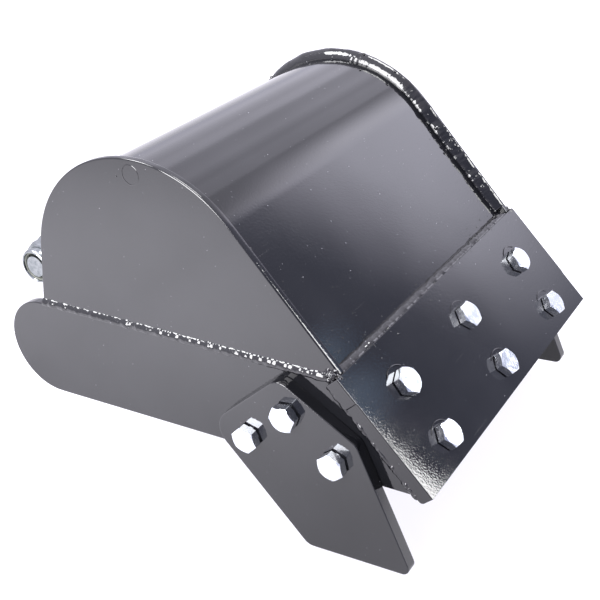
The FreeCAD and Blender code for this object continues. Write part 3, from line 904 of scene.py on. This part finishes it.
# floor with a painted pool of light, studio and light
studio = {"floor": (0.135, 0.13, 0.14, 1), "floorSize": 9.0, "floorGlow": 0.80,
          "floorTint": (1.01, 1.0, 1.09, 1), "paintedPoolGlow": 1.55, "paintedPoolSpot": (0.37, 0.06, 0.129),
          "paintedPoolReach": 0.36, "panelGlow": 2.9, "panelLean": 0.4, "panelLeft": (0.19, 0.47),
          "panelRight": (0.713, 0.568), "panelFoot": (0.25, 0.45), "panelTop": (0.70, 0.54),
          "backdrop": (1.0, 1.0, 1.0, 1), "patchAim": (35.4, 30.0), "patchWide": 2.6,
          "patchGlow": (0.42, 0.68, 1.0, 1),
          "sky": [(-180, 1.1), (-90, 0.9), (0, 0.9), (30, 0.50), (42, 0.40), (53, 0.50), (62, 0.85),
                  (70, 1.15), (92, 1.25), (93, 1.75), (104, 1.75), (109, 1.50), (119, 1.85), (130, 1.45),
                  (136, 1.35), (141, 1.85), (147, 1.75), (154, 1.40), (161, 1.40), (171, 1.50), (180, 1.10)]}
bpy.ops.object.select_all(action="DESELECT")
bpy.ops.mesh.primitive_plane_add(size=studio["floorSize"], location=(0, 0, cadBox[0].z))
floor = started("studioFloor")
floorPaint, node, shader, tree = painter("paleFloorPaintedPool")
where = node("ShaderNodeTexCoord").outputs["Object"]
worn = tuple(k * 0.97 for k in studio["floor"][:3]) + (1,)
tree.links.new(blend(node, spots(node, where, 0.6), studio["floor"], worn), shader.inputs["Base Color"])
shader.inputs["Roughness"].default_value = 0.7
shader.inputs["Emission Color"].default_value = studio["floorTint"]
# the floor glows evenly, and more in a painted pool of light on both sides of the bucket, brightest at the
# pool's spot and fading out over its reach
bothSides = node("ShaderNodeVectorMath", {0: where}, operation="ABSOLUTE").outputs[0]
away = node("ShaderNodeVectorMath", {0: bothSides, 1: studio["paintedPoolSpot"]}, operation="DISTANCE")
glow = node("ShaderNodeMapRange", {0: away.outputs["Value"], 1: 0.0, 2: studio["paintedPoolReach"],
                                   3: studio["floorGlow"] + studio["paintedPoolGlow"], 4: studio["floorGlow"]},
            interpolation_type="SMOOTHSTEP")
tree.links.new(glow.outputs[0], shader.inputs["Emission Strength"])
place(floor)
floor.data.materials.append(floorPaint)


def softbox(name, spot, aim, size, power, colour=(1, 1, 1), along=(0, 0, 1)):
    # a soft light at its spot, turned to what it lights; its second side runs along a direction
    bpy.ops.object.select_all(action="DESELECT")
    bpy.ops.object.light_add(type="AREA", location=spot)
    lamp = started(name)
    lamp.data.shape = "RECTANGLE"
    lamp.data.size, lamp.data.size_y = size
    lamp.data.energy = power
    lamp.data.color = colour
    back = (Vector(spot) - Vector(aim)).normalized()
    lamp.matrix_world = facing(Vector(along).cross(back).normalized(), back, Vector(spot))
    lamp.visible_camera = False


bucketMiddle = (cadBox[0] + cadBox[1]) / 2
softbox("keyRight", (0.919, -1.965, 1.236), (-0.632, -0.755, 0.255), (1.3, 1.2), 80, (1.0, 0.995, 0.99),
        (0.0387, -0.158, -0.193))
softbox("keyBack", (-0.66, 1.35, 1.45), bucketMiddle, (0.8, 0.65), 40, (0.98, 0.98, 1.0))
softbox("softLeft", (-1.55, 0.24, 0.85), (-0.15, 0.20, 0.0), (1.0, 1.3), 84, (0.99, 0.98, 1.0))
softbox("softTop", (0.9, 0.2, 2.4), bucketMiddle, (1.0, 1.0), 60)


def studioAir(look):
    world = bpy.data.worlds.new("studioAir")
    scene.world = world
    world.use_nodes = True
    world.node_tree.nodes.clear()
    node = nodeMaker(world.node_tree)
    heading = node("ShaderNodeTexCoord").outputs["Generated"]
    parts = node("ShaderNodeSeparateXYZ", {0: heading})
    ahead = node("ShaderNodeMath", {0: parts.outputs["Y"], 1: -1.0}, operation="MULTIPLY")
    around = node("ShaderNodeMath", {0: parts.outputs["Z"], 1: ahead.outputs[0]}, operation="ARCTAN2")
    share = span(node, around.outputs[0], -math.pi, math.pi, (0.0, 1.0))
    sky = node("ShaderNodeValToRGB", {0: share})
    stops = sky.color_ramp.elements
    while len(stops) < len(look["sky"]):
        stops.new(0.5)
    for stop, (degrees, glow) in zip(stops, look["sky"]):
        cool = min(1.0, max(0.0, (1.2 - glow) / 0.8))
        stop.position = (degrees + 180) / 360
        stop.color = (glow * (1.02 - 0.06 * cool) / 4, glow / 4, glow * (1.15 + 0.22 * cool) / 4, 1)
    side = node("ShaderNodeMath", {0: ahead.outputs[0], 1: parts.outputs["X"]}, operation="ARCTAN2")
    height = parts.outputs["Z"]
    lean = node("ShaderNodeMath", {0: height, 1: look["panelLean"], 2: side.outputs[0]},
                operation="MULTIPLY_ADD")
    near = 1.0
    for value, (low, high) in ((lean.outputs[0], look["panelLeft"]), (lean.outputs[0], look["panelRight"]),
                               (height, look["panelFoot"]), (height, look["panelTop"])):
        edge = node("ShaderNodeMapRange", {0: value, 1: low, 2: high}, interpolation_type="SMOOTHSTEP")
        near = node("ShaderNodeMath", {0: near, 1: edge.outputs[0]}, operation="MULTIPLY").outputs[0]
    glow = look["panelGlow"] / 4
    panel = blend(node, near, (0, 0, 0, 1), (glow * 1.02, glow, glow * 1.13, 1))
    turn, rise = (math.radians(k) for k in look["patchAim"])
    aim = (math.cos(rise) * math.cos(turn), -math.cos(rise) * math.sin(turn), math.sin(rise))
    match = node("ShaderNodeVectorMath", {0: heading, 1: aim}, operation="DOT_PRODUCT").outputs["Value"]
    edge = math.cos(math.radians(look["patchWide"]))
    patch = node("ShaderNodeMapRange", {0: match, 1: edge, 2: 1.0}, interpolation_type="SMOOTHSTEP")
    patch = blend(node, patch.outputs[0], (0, 0, 0, 1), tuple(k / 4 for k in look["patchGlow"][:3]) + (1,))
    panel = node("ShaderNodeVectorMath", {0: panel, 1: patch}, operation="ADD").outputs[0]
    total = node("ShaderNodeVectorMath", {0: sky.outputs[0], 1: panel}, operation="ADD")
    air = node("ShaderNodeBackground", {"Color": total.outputs[0], "Strength": 4.0})
    plain = node("ShaderNodeBackground", {"Color": look["backdrop"], "Strength": 1.0})
    seen = node("ShaderNodeLightPath").outputs["Is Camera Ray"]
    both = node("ShaderNodeMixShader", {0: seen, 1: air.outputs[0], 2: plain.outputs[0]})
    node("ShaderNodeOutputWorld", {"Surface": both.outputs[0]})


studioAir(studio)
scene.view_settings.view_transform = "Standard"
print("studio lit")
